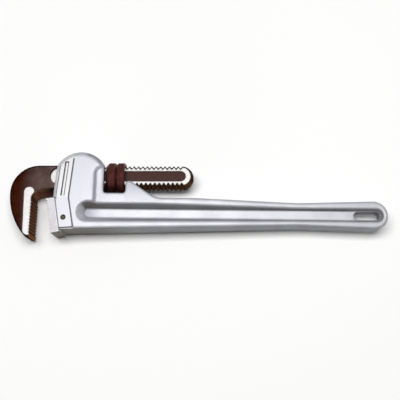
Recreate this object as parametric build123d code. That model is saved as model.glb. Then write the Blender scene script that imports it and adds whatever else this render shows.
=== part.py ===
from build123d import *
from math import atan, degrees, pi, radians, sin, sqrt, tan
import os

# Straight pipe wrench, lying on its side. All sizes are in millimetres.
# While it is drawn, X runs along the shank towards the end of the handle, Y points from the shank to the
# dome of the head, Z goes through the thickness, and the origin is on the shank axis at mid-thickness.
# At the end everything is lifted by half the head, so that the lower side of the head lies on z = 0.

# Casting, seen from the side
DOME_RADIUS = 28.4
DOME_DROP = 2.4
NOSE_X = -25.2
NOSE_LEAN = 4.6
NOSE_LIP = 2.6
CHEEK_TOP_Y = -25.4
CHEEK_LEAN = 11.0
HEAD_BACK_X = 25.0
HUMP_TOP_Y = -6.6
HUMP_TOP_LENGTH = 5.4
HUMP_RAMP_ANGLE = 35.0
HUMP_RAMP_RADIUS = 25.0
HUMP_CORNER_RADIUS = 3.2
WINDOW_FLOOR_Y = -20.0
WINDOW_CORNER_RADIUS = 3.0
ROOT_TOP_Y = -24.8
ROOT_BOTTOM_Y = -59.4
TAPER_TOP_X = 122.0
WAIST_TOP_Y = -29.6
WAIST_BOTTOM_Y = -54.8
WAIST_RADIUS = 400.0
HANDLE_END_X = 325.5
END_LENGTH = 95.5
END_TOP_Y = -27.6
END_BOTTOM_Y = -58.6
END_RADIUS = 14.7

# Casting, seen from above
HEAD_THICKNESS = 34.0
TAPER_START_X = 5.0
TAPER_RADIUS = 100.0
WAIST_THICKNESS = 19.6
END_THICKNESS = 21.0
EDGE_RADIUS = 2.6
DOME_EDGE_RADIUS = 6.0

# Web panel and hang slot of the handle
WEB_THICKNESS = 11.0
PANEL_HEIGHT = 9.8
PANEL_DRAFT = 27.0
PANEL_START_X = 9.0
PANEL_START_Y = -40.2
PANEL_FLOOR_RADIUS = 1.2
PANEL_RIM_RADIUS = 2.5
PANEL_MARGIN = 0.6
HANG_SLOT_LENGTH = 28.0
HANG_SLOT_WIDTH = 8.6
HANG_SLOT_INSET = 21.5
HANG_SLOT_Y = -43.4

# Thumb relief round the window, and the lines cut into the cheeks
RELIEF_DEPTH = 2.5
RELIEF_X = 18.0
RELIEF_TOP_Y = 7.0
RELIEF_CORNER_RADIUS = 5.0
RELIEF_SLOPE = 58.0
BAND_WIDTH = 16.8
BAND_LINE_WIDTH = 1.4
BAND_LINE_DEPTH = 1.4
BAND_LINE_TOP_Y = 17.5
BAND_FOOT_HEIGHT = 2.0
BAND_FOOT_DROP = 0.9
NOSE_LINE_OFFSET = 3.4
NOSE_LINE_WIDTH = 0.9
NOSE_LINE_DEPTH = 0.7
NOSE_LINE_TOP_Y = 9.0
SLIT_OFFSET = 8.0
SLIT_WIDTH = 4.2
SLIT_DEPTH = 3.2
SLIT_FLOOR_Y = -23.6

# Hook jaw
HOOK_FACE_X = -49.6
HOOK_TOP_Y = 11.5
HOOK_TOP_RADIUS = 29.6
HOOK_TOP_CENTRE_X = -44.6
HOOK_BACK_RADIUS = 69.5
HOOK_TIP_Y = -67.2
HOOK_TIP_RADIUS = 3.5
HOOK_EDGE_RADIUS = 2.6
THROAT_RADIUS = 6.0
THROAT_Y = -19.4
THROAT_RELIEF = 0.9
NECK_THICKNESS = 25.0
NECK_FOOT_X = -30.0
NECK_FOOT_Y = -15.4
NECK_END_X = -15.0
TOOTH_PITCH = 3.4
TOOTH_DEPTH = 1.7
TOOTH_COUNT = 10
TOOTH_TOP_Y = -28.6
TOOTH_LAND = 0.3
TOOTH_STEEP_SHARE = 0.28
TOOTH_PAD_WIDTH = 9.7
TOOTH_PAD_TOP_Y = -12.5
TOOTH_PAD_BOTTOM_Y = -64.4
TOOTH_PAD_DEPTH = 0.9
TOOTH_PAD_LEAN = 2.0

# Threaded shank
SHANK_THICKNESS = 17.5
SHANK_END_X = 120.6
SHANK_CHAMFER = 1.8
FLAT_END_X = -33.0
FLAT_END_RADIUS = 9.0
THREAD_RADIUS = 13.3
THREAD_PITCH = 4.8
THREAD_DEPTH = 1.9
THREAD_CREST = 0.9
THREAD_ROOT = 0.8
THREAD_START_X = 14.8
THREAD_COUNT = 20
THREAD_ARC = 120.0
SHANK_PANEL_HEIGHT = 10.6
SHANK_PANEL_DEPTH = 1.2
SHANK_PANEL_START_X = -10.0
SHANK_PANEL_END_X = 111.6

# Adjusting nut
NUT_RADIUS = 16.75
NUT_LENGTH = 19.6
NUT_CHAMFER_LENGTH = 2.4
NUT_CHAMFER_DEPTH = 2.6
NUT_GROOVE_X = 10.4
NUT_GROOVE_WIDTH = 3.6
NUT_GROOVE_DEPTH = 1.5
NUT_REAR_CHAMFER = 0.8
NUT_FRONT_GAP = 2.2
NUT_REAR_GAP = 1.5
RIDGE_OVERCUT = 0.2

# Heel jaw and its pin
HEEL_THICKNESS = 31.0
HEEL_REACH = 10.0
HEEL_TOP_DROP = 0.8
HEEL_BOTTOM_Y = -63.2
HEEL_BACK_RISE = 2.0
HEEL_SEAM_WIDTH = 1.0
HEEL_SEAM_DEPTH = 4.0
HEEL_TOOTH_MARGIN = 2.0
HEEL_TOOTH_COUNT = 10
TONGUE_THICKNESS = 12.0
TONGUE_DEPTH = 13.0
TONGUE_TOP_Y = -29.5
TONGUE_BOTTOM_Y = -56.4
PIN_RADIUS = 2.65
PIN_CHAMFER = 0.9
PIN_RECESS = 0.8
PIN_X = -14.8
PIN_Y = -46.9

# Springs under the shank
LEAF_THICKNESS = 1.2
LEAF_WIDTH = 13.0
LEAF_START_X = -4.0
LEAF_END_X = 22.5
COIL_X = 8.0
COIL_RADIUS = 4.4
COIL_WIRE = 1.3
COIL_WIRE_SIDES = 5
COIL_TURNS = 4.5
COIL_POINTS_PER_TURN = 24
COIL_POCKET_DEPTH = 14.0
RIVET_RADIUS = 2.1
RIVET_LENGTH = 6.0

# Fits and travel
SLIDE_CLEARANCE = 0.4
SEAT_CLEARANCE = 0.1
PIN_CLEARANCE = 0.05
RUN_CLEARANCE = 0.3
THREAD_CLEARANCE = 0.3
ROOF_CLEARANCE = 0.7
OVERRUN = 1.0
ROCK_ANGLE = 4.0

# Places that follow from the sizes above
HALF_HEAD = HEAD_THICKNESS / 2
WAIST_X = HANDLE_END_X - END_LENGTH
HANG_SLOT_X = HANDLE_END_X - HANG_SLOT_INSET
NUT_START_X = HEAD_BACK_X + NUT_FRONT_GAP
NUT_CENTRE_X = NUT_START_X + NUT_LENGTH / 2
HUMP_X = NUT_START_X + NUT_LENGTH + NUT_REAR_GAP
LEAF_TOP_Y = -THREAD_RADIUS - RUN_CLEARANCE
LEAF_BOTTOM_Y = LEAF_TOP_Y - LEAF_THICKNESS
LEAF_DIP = (NUT_CENTRE_X - LEAF_START_X) * sin(radians(ROCK_ANGLE))
PASSAGE_FLOOR_Y = LEAF_BOTTOM_Y - LEAF_DIP - RUN_CLEARANCE
PASSAGE_ROOF_Y = THREAD_RADIUS + ROOF_CLEARANCE
POCKET_FLOOR_Y = PASSAGE_FLOOR_Y - COIL_POCKET_DEPTH
FAR = 500.0
NEAR = 0.001

SHANK_PLANE = Plane((0, 0, 0), x_dir=(0, 1, 0), z_dir=(1, 0, 0))
PLAN = Plane((0, 0, 0), x_dir=(1, 0, 0), z_dir=(0, -1, 0))


def nose_x(y):
    """X of the leaning front edge of the nose at height y."""
    return NOSE_X + y * tan(radians(NOSE_LEAN))


def cheek_x(y):
    """X of the front edge of the lower cheeks at height y."""
    return nose_x(CHEEK_TOP_Y) + NOSE_LIP + (CHEEK_TOP_Y - y) * tan(radians(CHEEK_LEAN))


def root_y(x):
    """Y of the casting's lower edge at x, in front of the waist."""
    front_x = cheek_x(ROOT_BOTTOM_Y)
    return ROOT_BOTTOM_Y + (x - front_x) * (WAIST_BOTTOM_Y - ROOT_BOTTOM_Y) / (WAIST_X - front_x)


def both_sides(shape):
    """The shape and its copy on the other side of mid-thickness."""
    return [shape, mirror(shape, about=Plane.XY)]


def slab(thickness):
    """A wide plate of the given thickness about mid-thickness."""
    return Box(2 * FAR, 2 * FAR, thickness)


def outline_face(corners):
    """A face from corners given as x, y and corner radius."""
    points = [(x, y) for x, y, radius in corners]
    radii = [radius for x, y, radius in corners]
    return make_face(FilletPolyline(*points, radius=radii, close=True))


def casting_outline():
    """Side view of the casting: cheeks, handle, hump, window and head."""
    ramp_run = (HUMP_TOP_Y - ROOT_TOP_Y) / tan(radians(HUMP_RAMP_ANGLE))
    lower = outline_face([
        (nose_x(0), 0, 0),
        (nose_x(CHEEK_TOP_Y), CHEEK_TOP_Y, 0),
        (cheek_x(CHEEK_TOP_Y), CHEEK_TOP_Y, 0),
        (cheek_x(ROOT_BOTTOM_Y), ROOT_BOTTOM_Y, 0),
        (WAIST_X, WAIST_BOTTOM_Y, WAIST_RADIUS),
        (HANDLE_END_X, END_BOTTOM_Y, END_RADIUS),
        (HANDLE_END_X, END_TOP_Y, END_RADIUS),
        (WAIST_X, WAIST_TOP_Y, WAIST_RADIUS),
        (TAPER_TOP_X, ROOT_TOP_Y, WAIST_RADIUS),
        (HUMP_X + HUMP_TOP_LENGTH + ramp_run, ROOT_TOP_Y, HUMP_RAMP_RADIUS),
        (HUMP_X + HUMP_TOP_LENGTH, HUMP_TOP_Y, HUMP_CORNER_RADIUS),
        (HUMP_X, HUMP_TOP_Y, HUMP_CORNER_RADIUS),
        (HUMP_X, WINDOW_FLOOR_Y, WINDOW_CORNER_RADIUS),
        (HEAD_BACK_X, WINDOW_FLOOR_Y, WINDOW_CORNER_RADIUS),
        (HEAD_BACK_X, 0, 0),
    ])
    dome = Pos(0, -DOME_DROP) * Circle(DOME_RADIUS)
    top = 2 * DOME_RADIUS
    limits = Polygon((nose_x(0), 0), (HEAD_BACK_X, 0), (HEAD_BACK_X, top), (nose_x(top), top), align=None)
    return lower + (dome & limits)


def thickness_outline():
    """Plan view of the casting: the head's full thickness, tapering to the waist and widening to the end."""
    half = [
        (2 * NOSE_X, HALF_HEAD, 0),
        (TAPER_START_X, HALF_HEAD, TAPER_RADIUS),
        (WAIST_X, WAIST_THICKNESS / 2, WAIST_RADIUS),
        (HANDLE_END_X - NOSE_X, END_THICKNESS / 2, 0),
    ]
    return outline_face(half + [(x, -z, radius) for x, z, radius in reversed(half)])


def head_envelope():
    """The rounded-over dome and sides of the head; the handle passes out of it at the back."""
    depth = FAR / 2
    side = Pos(0, -DOME_DROP) * Circle(DOME_RADIUS)
    side += Pos(0, -DOME_DROP - depth / 2) * Rectangle(2 * DOME_RADIUS, depth)
    envelope = extrude(side, HALF_HEAD, both=True)
    rims = envelope.faces().filter_by(Axis.Z).edges()
    envelope = fillet(rims, DOME_EDGE_RADIUS)
    way_out = Box(FAR, depth, HEAD_THICKNESS, align=(Align.MIN, Align.MAX, Align.CENTER))
    return envelope + Pos(0, HUMP_TOP_Y) * way_out


def casting_blank():
    """The two views crossed, with the rims of the handle, hump and window rounded."""
    blank = extrude(casting_outline(), HEAD_THICKNESS, both=True)
    blank &= extrude(PLAN * thickness_outline(), FAR, both=True)
    broad = [face for face in blank.faces() if abs(face.normal_at(face.center()).Z) > 0.5]
    edges = [edge for face in broad for edge in face.edges()]
    rims = [edge for edge in edges if edges.count(edge) == 1]
    front_x = cheek_x(ROOT_BOTTOM_Y)
    rims = [edge for edge in rims if edge.center().X > front_x and edge.center().Y < PASSAGE_ROOF_Y]
    return fillet(rims, EDGE_RADIUS) & head_envelope()


def panel_tool():
    """The long web panel with sloping walls, on the upper side."""
    start = Vector(PANEL_START_X, PANEL_START_Y)
    end = Vector(HANG_SLOT_X + (HANG_SLOT_LENGTH - PANEL_HEIGHT) / 2 + PANEL_MARGIN, HANG_SLOT_Y)
    run = end - start
    middle = (start + end) * 0.5
    floor = Rot(0, 0, degrees(atan(run.Y / run.X))) * SlotCenterToCenter(run.length, PANEL_HEIGHT)
    floor = Pos(middle.X, middle.Y, WEB_THICKNESS / 2) * floor
    tool = extrude(floor, HALF_HEAD, taper=-PANEL_DRAFT)
    return fillet(tool.edges().group_by(Axis.Z)[0], PANEL_FLOOR_RADIUS)


def panel_rims(body):
    """The upper edges of the sloping walls of the web panels."""
    slope = sin(radians(PANEL_DRAFT))
    walls = [face for face in body.faces() if abs(abs(face.normal_at(face.center()).Z) - slope) < NEAR]
    edges = [edge for wall in walls for edge in wall.edges()]
    free = [edge for edge in edges if edges.count(edge) == 1]
    return [edge for edge in free if abs(edge.center().Z) > WEB_THICKNESS / 2 + PANEL_FLOOR_RADIUS]


def relief_tool():
    """The thumb relief round the window: a shallow pocket whose walls slope up to the head."""
    length = TAPER_TOP_X - RELIEF_X
    height = RELIEF_TOP_Y - PANEL_START_Y
    floor = Rectangle(length, height, align=(Align.MIN, Align.MAX))
    floor = fillet(floor.vertices().sort_by(Axis.X)[:2], RELIEF_CORNER_RADIUS)
    floor = Pos(RELIEF_X, RELIEF_TOP_Y, HALF_HEAD - RELIEF_DEPTH) * floor
    return extrude(floor, 2 * RELIEF_DEPTH, taper=-RELIEF_SLOPE)


def band_foot():
    """The lower end of the line at the back of the cheek band, where it turns forwards."""
    foot_y = ROOT_BOTTOM_Y + BAND_FOOT_HEIGHT
    return Vector(cheek_x(foot_y) + BAND_WIDTH - NOSE_LIP, foot_y)


def cheek_plate():
    """The square foot of the front band, which the rounded rim of the casting leaves out."""
    foot = band_foot()
    plate = Polygon(
        (cheek_x(foot.Y + EDGE_RADIUS), foot.Y + EDGE_RADIUS),
        (cheek_x(ROOT_BOTTOM_Y), ROOT_BOTTOM_Y),
        (foot.X, root_y(foot.X)),
        (foot.X, foot.Y + EDGE_RADIUS),
        align=None,
    )
    return extrude(plate, HALF_HEAD, both=True)


def cheek_lines():
    """The lines that frame the front band of the cheeks, and the blind slit along its middle."""
    foot = band_foot()
    frame = Polyline(
        (nose_x(BAND_LINE_TOP_Y) + BAND_WIDTH, BAND_LINE_TOP_Y),
        (nose_x(CHEEK_TOP_Y) + BAND_WIDTH, CHEEK_TOP_Y),
        (foot.X, foot.Y),
        (cheek_x(foot.Y) - OVERRUN, foot.Y - BAND_FOOT_DROP),
    )
    nose_line = Polyline(
        (nose_x(NOSE_LINE_TOP_Y) + NOSE_LINE_OFFSET, NOSE_LINE_TOP_Y),
        (nose_x(CHEEK_TOP_Y) + NOSE_LINE_OFFSET, CHEEK_TOP_Y - OVERRUN),
    )
    slit = Polygon(
        (nose_x(PASSAGE_ROOF_Y) + SLIT_OFFSET, PASSAGE_ROOF_Y),
        (nose_x(SLIT_FLOOR_Y) + SLIT_OFFSET, SLIT_FLOOR_Y),
        (nose_x(SLIT_FLOOR_Y) + SLIT_OFFSET + SLIT_WIDTH, SLIT_FLOOR_Y),
        (nose_x(PASSAGE_ROOF_Y) + SLIT_OFFSET + SLIT_WIDTH, PASSAGE_ROOF_Y),
        align=None,
    )
    return [
        extrude(Pos(0, 0, HALF_HEAD - BAND_LINE_DEPTH) * trace(frame, BAND_LINE_WIDTH), FAR),
        extrude(Pos(0, 0, HALF_HEAD - NOSE_LINE_DEPTH) * trace(nose_line, NOSE_LINE_WIDTH), FAR),
        extrude(Pos(0, 0, HALF_HEAD - SLIT_DEPTH) * slit, FAR),
    ]


def passage_tools():
    """The way of the hook jaw through the head: wide at the mouth for the neck, narrow behind."""
    mouth_floor_y = CHEEK_TOP_Y - RUN_CLEARANCE
    mouth = make_face(Polyline(
        (2 * NOSE_X, PASSAGE_ROOF_Y),
        (2 * NOSE_X, mouth_floor_y),
        (nose_x(CHEEK_TOP_Y) + NOSE_LIP, mouth_floor_y),
        (LEAF_START_X - RUN_CLEARANCE, PASSAGE_FLOOR_Y),
        (LEAF_START_X - RUN_CLEARANCE, PASSAGE_ROOF_Y),
        (2 * NOSE_X, PASSAGE_ROOF_Y),
    ))
    rear = make_face(Polyline(
        (FLAT_END_X, PASSAGE_ROOF_Y),
        (FLAT_END_X, PASSAGE_FLOOR_Y),
        (NUT_START_X, PASSAGE_FLOOR_Y),
        (NUT_START_X, PASSAGE_ROOF_Y),
        (FLAT_END_X, PASSAGE_ROOF_Y),
    ))
    return [
        extrude(mouth, NECK_THICKNESS / 2 + SLIDE_CLEARANCE, both=True),
        extrude(rear, SHANK_THICKNESS / 2 + SLIDE_CLEARANCE, both=True),
    ]


def tongue_face(clearance):
    """Side view of the heel jaw's tongue, or of its slot when there is a clearance."""
    top = TONGUE_TOP_Y + clearance
    bottom = TONGUE_BOTTOM_Y - clearance
    depth = TONGUE_DEPTH + clearance
    return Polygon(
        (cheek_x(top) - HEEL_REACH / 2, top),
        (cheek_x(bottom) - HEEL_REACH / 2, bottom),
        (cheek_x(bottom) + depth, bottom),
        (cheek_x(top) + depth, top),
        align=None,
    )


def handle_body():
    """The casting: head, hump and handle, with the ways, pockets and seats of the other pieces."""
    body = casting_blank() + cheek_plate()
    body -= both_sides(panel_tool()) + both_sides(relief_tool())
    body = fillet(panel_rims(body), PANEL_RIM_RADIUS)
    for tool in cheek_lines():
        body -= both_sides(tool)
    body -= passage_tools()
    groove_width = SHANK_THICKNESS + 2 * SLIDE_CLEARANCE
    groove = Box(WAIST_X - HUMP_X, FAR, groove_width, align=(Align.MIN, Align.MIN, Align.CENTER))
    body -= Pos(NUT_CENTRE_X, -PASSAGE_ROOF_Y) * groove
    hang_slot = SlotOverall(HANG_SLOT_LENGTH, HANG_SLOT_WIDTH)
    body -= Pos(HANG_SLOT_X, HANG_SLOT_Y) * extrude(hang_slot, HALF_HEAD, both=True)
    body -= extrude(tongue_face(SEAT_CLEARANCE), TONGUE_THICKNESS / 2 + SEAT_CLEARANCE, both=True)
    body -= Pos(PIN_X, PIN_Y) * Cylinder(PIN_RADIUS + PIN_CLEARANCE, 2 * HEAD_THICKNESS)
    pocket_radius = COIL_RADIUS + COIL_WIRE / 2 + SLIDE_CLEARANCE
    pocket = PLAN * Cylinder(pocket_radius, 2 * COIL_POCKET_DEPTH)
    return body - Pos(COIL_X, PASSAGE_FLOOR_Y) * pocket


def tooth_notches(count):
    """Notches between saw teeth in a face at x = 0, from y = 0 down; teeth are steep on the upper side."""
    mouth = TOOTH_PITCH - TOOTH_LAND
    notch = Polygon(
        (OVERRUN, 0),
        (0, 0),
        (-TOOTH_DEPTH, -mouth * (1 - TOOTH_STEEP_SHARE)),
        (0, -mouth),
        (OVERRUN, -mouth),
        align=None,
    )
    notch = extrude(notch, HALF_HEAD, both=True)
    return [Pos(0, -tooth * TOOTH_PITCH) * notch for tooth in range(count)]


def hook_outline():
    """Side view of the hook and the neck, before its teeth are cut."""
    centre_y = HOOK_TOP_Y - HOOK_TOP_RADIUS
    left_x = HOOK_TOP_CENTRE_X - HOOK_TOP_RADIUS
    back_centre_x = left_x + HOOK_BACK_RADIUS
    mid_y = (HOOK_TIP_Y + centre_y) / 2
    mid_x = back_centre_x - sqrt(HOOK_BACK_RADIUS**2 - (mid_y - centre_y) ** 2)
    tip_x = back_centre_x - sqrt(HOOK_BACK_RADIUS**2 - (HOOK_TIP_Y - centre_y) ** 2)
    relief_x = HOOK_FACE_X - THROAT_RELIEF
    lines = Polyline(
        (tip_x, HOOK_TIP_Y),
        (HOOK_FACE_X, HOOK_TIP_Y),
        (HOOK_FACE_X, TOOTH_TOP_Y),
        (relief_x, TOOTH_TOP_Y),
        (relief_x, THROAT_Y),
        (NECK_FOOT_X, NECK_FOOT_Y),
        (NECK_END_X, -THREAD_RADIUS),
        (NECK_END_X, HOOK_TOP_Y),
        (HOOK_TOP_CENTRE_X, HOOK_TOP_Y),
    )
    crown = CenterArc((HOOK_TOP_CENTRE_X, centre_y), HOOK_TOP_RADIUS, 90, 90)
    back = ThreePointArc((left_x, centre_y), (mid_x, mid_y), (tip_x, HOOK_TIP_Y))
    face = make_face(lines.edges() + crown.edges() + back.edges())
    face = fillet(face.vertices().sort_by_distance((relief_x, THROAT_Y))[:1], THROAT_RADIUS)
    return fillet(face.vertices().sort_by_distance((tip_x, HOOK_TIP_Y))[:1], HOOK_TIP_RADIUS)


def hook_and_neck():
    """The forged end of the hook jaw with rounded rims, its tooth pads and its teeth."""
    hook = extrude(hook_outline(), NECK_THICKNESS / 2, both=True)
    rims = hook.faces().filter_by(Axis.Z).edges()
    inside = rims.filter_by(lambda edge: abs(edge.center().X - HOOK_FACE_X) < OVERRUN)
    inside = inside.filter_by(lambda edge: edge.center().Y < TOOTH_TOP_Y + OVERRUN)
    joint = rims.filter_by(lambda edge: edge.center().X > NECK_END_X - OVERRUN)
    hook = fillet(rims - inside - joint, HOOK_EDGE_RADIUS)
    tip = hook.edges().filter_by(Axis.Z).sort_by_distance((HOOK_FACE_X, HOOK_TIP_Y, 0))[:1]
    hook = fillet(tip, HOOK_TIP_RADIUS / 2)
    pad_length = TOOTH_PAD_TOP_Y - TOOTH_PAD_BOTTOM_Y
    pad = SlotOverall(pad_length, TOOTH_PAD_WIDTH + OVERRUN, rotation=90 + TOOTH_PAD_LEAN)
    pad_x = HOOK_FACE_X + (OVERRUN - TOOTH_PAD_WIDTH) / 2 + pad_length / 2 * sin(radians(TOOTH_PAD_LEAN))
    pad_y = (TOOTH_PAD_TOP_Y + TOOTH_PAD_BOTTOM_Y) / 2
    pad = Pos(pad_x, pad_y, NECK_THICKNESS / 2 - TOOTH_PAD_DEPTH) * extrude(pad, OVERRUN)
    notches = Pos(HOOK_FACE_X, TOOTH_TOP_Y - TOOTH_LAND) * Compound(tooth_notches(TOOTH_COUNT))
    return hook - both_sides(pad) - notches.solids()


def thread_cutters():
    """Part rings, leaning by the helix angle, that cut a right-hand thread into the shank's edges."""
    mouth = THREAD_PITCH - THREAD_CREST
    flare = (mouth - THREAD_ROOT) / THREAD_DEPTH * OVERRUN
    root_radius = THREAD_RADIUS - THREAD_DEPTH
    section = Polygon(
        (-THREAD_ROOT / 2, root_radius),
        (THREAD_ROOT / 2, root_radius),
        ((mouth + flare) / 2, THREAD_RADIUS + OVERRUN),
        (-(mouth + flare) / 2, THREAD_RADIUS + OVERRUN),
        align=None,
    )
    ring = revolve(Rot(-THREAD_ARC / 2, 0, 0) * section, Axis.X, THREAD_ARC)
    lean = degrees(atan(THREAD_PITCH / (2 * pi * (THREAD_RADIUS - THREAD_DEPTH / 2))))
    above = Rot(0, lean, 0) * ring
    below = Pos(THREAD_PITCH / 2) * Rot(180, 0, 0) * above
    places = [THREAD_START_X + turn * THREAD_PITCH for turn in range(THREAD_COUNT)]
    return [Pos(x) * cutter for x in places for cutter in (above, below)]


def hook_jaw():
    """The hook jaw: hook, neck with milled flats, and the flattened threaded shank with its round end."""
    round_end_x = SHANK_END_X - THREAD_RADIUS
    shank = Cylinder(THREAD_RADIUS, round_end_x - NECK_END_X, align=(Align.CENTER, Align.CENTER, Align.MIN))
    shank = chamfer(shank.edges().sort_by(Axis.Z)[:1], SHANK_CHAMFER)
    shank = Pos(NECK_END_X) * (SHANK_PLANE.location * shank) + Pos(round_end_x) * Sphere(THREAD_RADIUS)
    shank &= slab(SHANK_THICKNESS)
    shank -= thread_cutters()
    flat_x = FLAT_END_X + FLAT_END_RADIUS
    flat = Circle(FLAT_END_RADIUS) + Rectangle(FAR, FAR, align=(Align.MIN, Align.CENTER))
    flat = Pos(flat_x, 0, SHANK_THICKNESS / 2) * extrude(flat, NECK_THICKNESS)
    panel = SlotOverall(SHANK_PANEL_END_X - SHANK_PANEL_START_X, SHANK_PANEL_HEIGHT)
    panel_x = (SHANK_PANEL_START_X + SHANK_PANEL_END_X) / 2
    panel = Pos(panel_x, 0, SHANK_THICKNESS / 2 - SHANK_PANEL_DEPTH) * extrude(panel, NECK_THICKNESS)
    return hook_and_neck() - both_sides(flat) + shank - both_sides(panel)


def nut_thread():
    """A helical cutter for the nut: the ridge it leaves fills the shank's groove, less a clearance."""
    slope = (THREAD_PITCH - THREAD_CREST - THREAD_ROOT) / (2 * THREAD_DEPTH)
    tip = THREAD_RADIUS - THREAD_DEPTH + THREAD_CLEARANCE
    half_tip = THREAD_ROOT / 2 - THREAD_CLEARANCE * (sqrt(1 + slope**2) - slope)
    inner = tip - RIDGE_OVERCUT
    outer = THREAD_RADIUS + SLIDE_CLEARANCE
    half_inner = THREAD_PITCH / 2 - half_tip + RIDGE_OVERCUT * slope
    half_outer = THREAD_PITCH / 2 - half_tip - (outer - tip) * slope
    corners = [(inner, -half_inner), (inner, half_inner), (outer, half_outer), (outer, -half_outer)]
    start_x = NUT_START_X - THREAD_PITCH
    length = NUT_LENGTH + 2 * THREAD_PITCH
    path = Helix(THREAD_PITCH, length, inner)
    axis = Line((0, 0, 0), (0, 0, length))
    cutter = sweep(Plane.XZ * Polygon(*corners, align=None), path=path, binormal=axis.edge())
    turns = (start_x - THREAD_START_X) / THREAD_PITCH - 0.5
    return Pos(start_x) * Rot(360 * turns, 0, 0) * (SHANK_PLANE.location * cutter)


def adjusting_nut():
    """The nut: coned in front, grooved round its middle, with an internal thread that runs on the shank."""
    bore = THREAD_RADIUS - THREAD_DEPTH + THREAD_CLEARANCE
    half_groove = NUT_GROOVE_WIDTH / 2
    section = Polygon(
        (0, bore),
        (NUT_LENGTH, bore),
        (NUT_LENGTH, NUT_RADIUS - NUT_REAR_CHAMFER),
        (NUT_LENGTH - NUT_REAR_CHAMFER, NUT_RADIUS),
        (NUT_GROOVE_X + half_groove, NUT_RADIUS),
        (NUT_GROOVE_X, NUT_RADIUS - NUT_GROOVE_DEPTH),
        (NUT_GROOVE_X - half_groove, NUT_RADIUS),
        (NUT_CHAMFER_LENGTH, NUT_RADIUS),
        (0, NUT_RADIUS - NUT_CHAMFER_DEPTH),
        align=None,
    )
    return Pos(NUT_START_X) * revolve(section, Axis.X) - nut_thread()


def heel_jaw():
    """The heel jaw: a toothed block in front of the cheeks and a tongue between them."""
    top_y = CHEEK_TOP_Y - SEAT_CLEARANCE
    front_top_y = top_y - HEEL_TOP_DROP
    back_bottom_y = HEEL_BOTTOM_Y + HEEL_BACK_RISE
    front = Vector(cheek_x(HEEL_BOTTOM_Y) - HEEL_REACH, HEEL_BOTTOM_Y)
    block = Polygon(
        (cheek_x(top_y) - SEAT_CLEARANCE, top_y),
        (cheek_x(front_top_y) - HEEL_REACH, front_top_y),
        (front.X, front.Y),
        (cheek_x(back_bottom_y) - SEAT_CLEARANCE, back_bottom_y),
        align=None,
    )
    block = extrude(block, HEEL_THICKNESS / 2, both=True)
    seam = Polygon(
        (cheek_x(top_y + OVERRUN), top_y + OVERRUN),
        (cheek_x(top_y + OVERRUN) - HEEL_SEAM_WIDTH, top_y + OVERRUN),
        (cheek_x(HEEL_BOTTOM_Y) - HEEL_SEAM_WIDTH, HEEL_BOTTOM_Y),
        (cheek_x(HEEL_BOTTOM_Y), HEEL_BOTTOM_Y),
        align=None,
    )
    block -= both_sides(extrude(Pos(0, 0, HEEL_THICKNESS / 2 - HEEL_SEAM_DEPTH) * seam, FAR))
    notches = Pos(0, HEEL_TOOTH_MARGIN) * Rot(0, 0, 180) * Compound(tooth_notches(HEEL_TOOTH_COUNT))
    block -= (Pos(front.X, front.Y) * Rot(0, 0, CHEEK_LEAN) * notches).solids()
    jaw = block + extrude(tongue_face(0), TONGUE_THICKNESS / 2, both=True)
    return jaw - Pos(PIN_X, PIN_Y) * Cylinder(PIN_RADIUS + PIN_CLEARANCE, HEAD_THICKNESS)


def heel_jaw_pin():
    """The pin through both cheeks and the tongue, with chamfered ends below the cheeks' faces."""
    pin = Cylinder(PIN_RADIUS, HEAD_THICKNESS - 2 * PIN_RECESS)
    pin = chamfer(pin.edges().filter_by(GeomType.CIRCLE), PIN_CHAMFER)
    return Pos(PIN_X, PIN_Y) * pin


def flat_spring():
    """The leaf under the shank, with round ends and a hole for its rivet."""
    leaf = SlotOverall(LEAF_END_X - LEAF_START_X, LEAF_WIDTH)
    leaf = Pos((LEAF_START_X + LEAF_END_X) / 2) * leaf - Pos(COIL_X) * Circle(RIVET_RADIUS + PIN_CLEARANCE)
    return Pos(0, LEAF_TOP_Y) * (PLAN * extrude(leaf, LEAF_THICKNESS))


def spring_rivet():
    """The rivet, flush with the leaf and standing down into the coil spring."""
    rivet = Cylinder(RIVET_RADIUS, RIVET_LENGTH, align=(Align.CENTER, Align.CENTER, Align.MIN))
    return Pos(COIL_X, LEAF_TOP_Y) * (PLAN * rivet)


def coil_gap(path):
    """The least gap between two turns of the coil, on points of its path half a turn or more apart."""
    count = round(COIL_TURNS * COIL_POINTS_PER_TURN)
    points = [path @ (index / count) for index in range(count + 1)]
    apart = COIL_POINTS_PER_TURN // 2
    pairs = [(near, far) for index, near in enumerate(points) for far in points[index + apart:]]
    return min((far - near).length for near, far in pairs) - COIL_WIRE


def coil_spring():
    """The coil spring between the floor of its pocket and the leaf."""
    top_y = LEAF_BOTTOM_Y - SEAT_CLEARANCE - COIL_WIRE / 2
    bottom_y = POCKET_FLOOR_Y + SEAT_CLEARANCE + COIL_WIRE / 2
    path = Helix((top_y - bottom_y) / COIL_TURNS, top_y - bottom_y, COIL_RADIUS)
    wire = (path ^ 0) * RegularPolygon(COIL_WIRE / 2, COIL_WIRE_SIDES)
    coil = sweep(wire, path=path, is_frenet=True)
    print(f"least gap between turns of the coil spring: {coil_gap(path):.2f} mm")
    return Pos(COIL_X, top_y) * (PLAN * coil)


NODES = {
    "handle_body": handle_body,
    "hook_jaw": hook_jaw,
    "adjusting_nut": adjusting_nut,
    "heel_jaw": heel_jaw,
    "heel_jaw_pin": heel_jaw_pin,
    "flat_spring": flat_spring,
    "spring_rivet": spring_rivet,
    "coil_spring": coil_spring,
}

os.makedirs("parts", exist_ok=True)
for name, make in NODES.items():
    export_step(Pos(0, 0, HALF_HEAD) * make(), f"parts/{name}.step")
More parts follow.
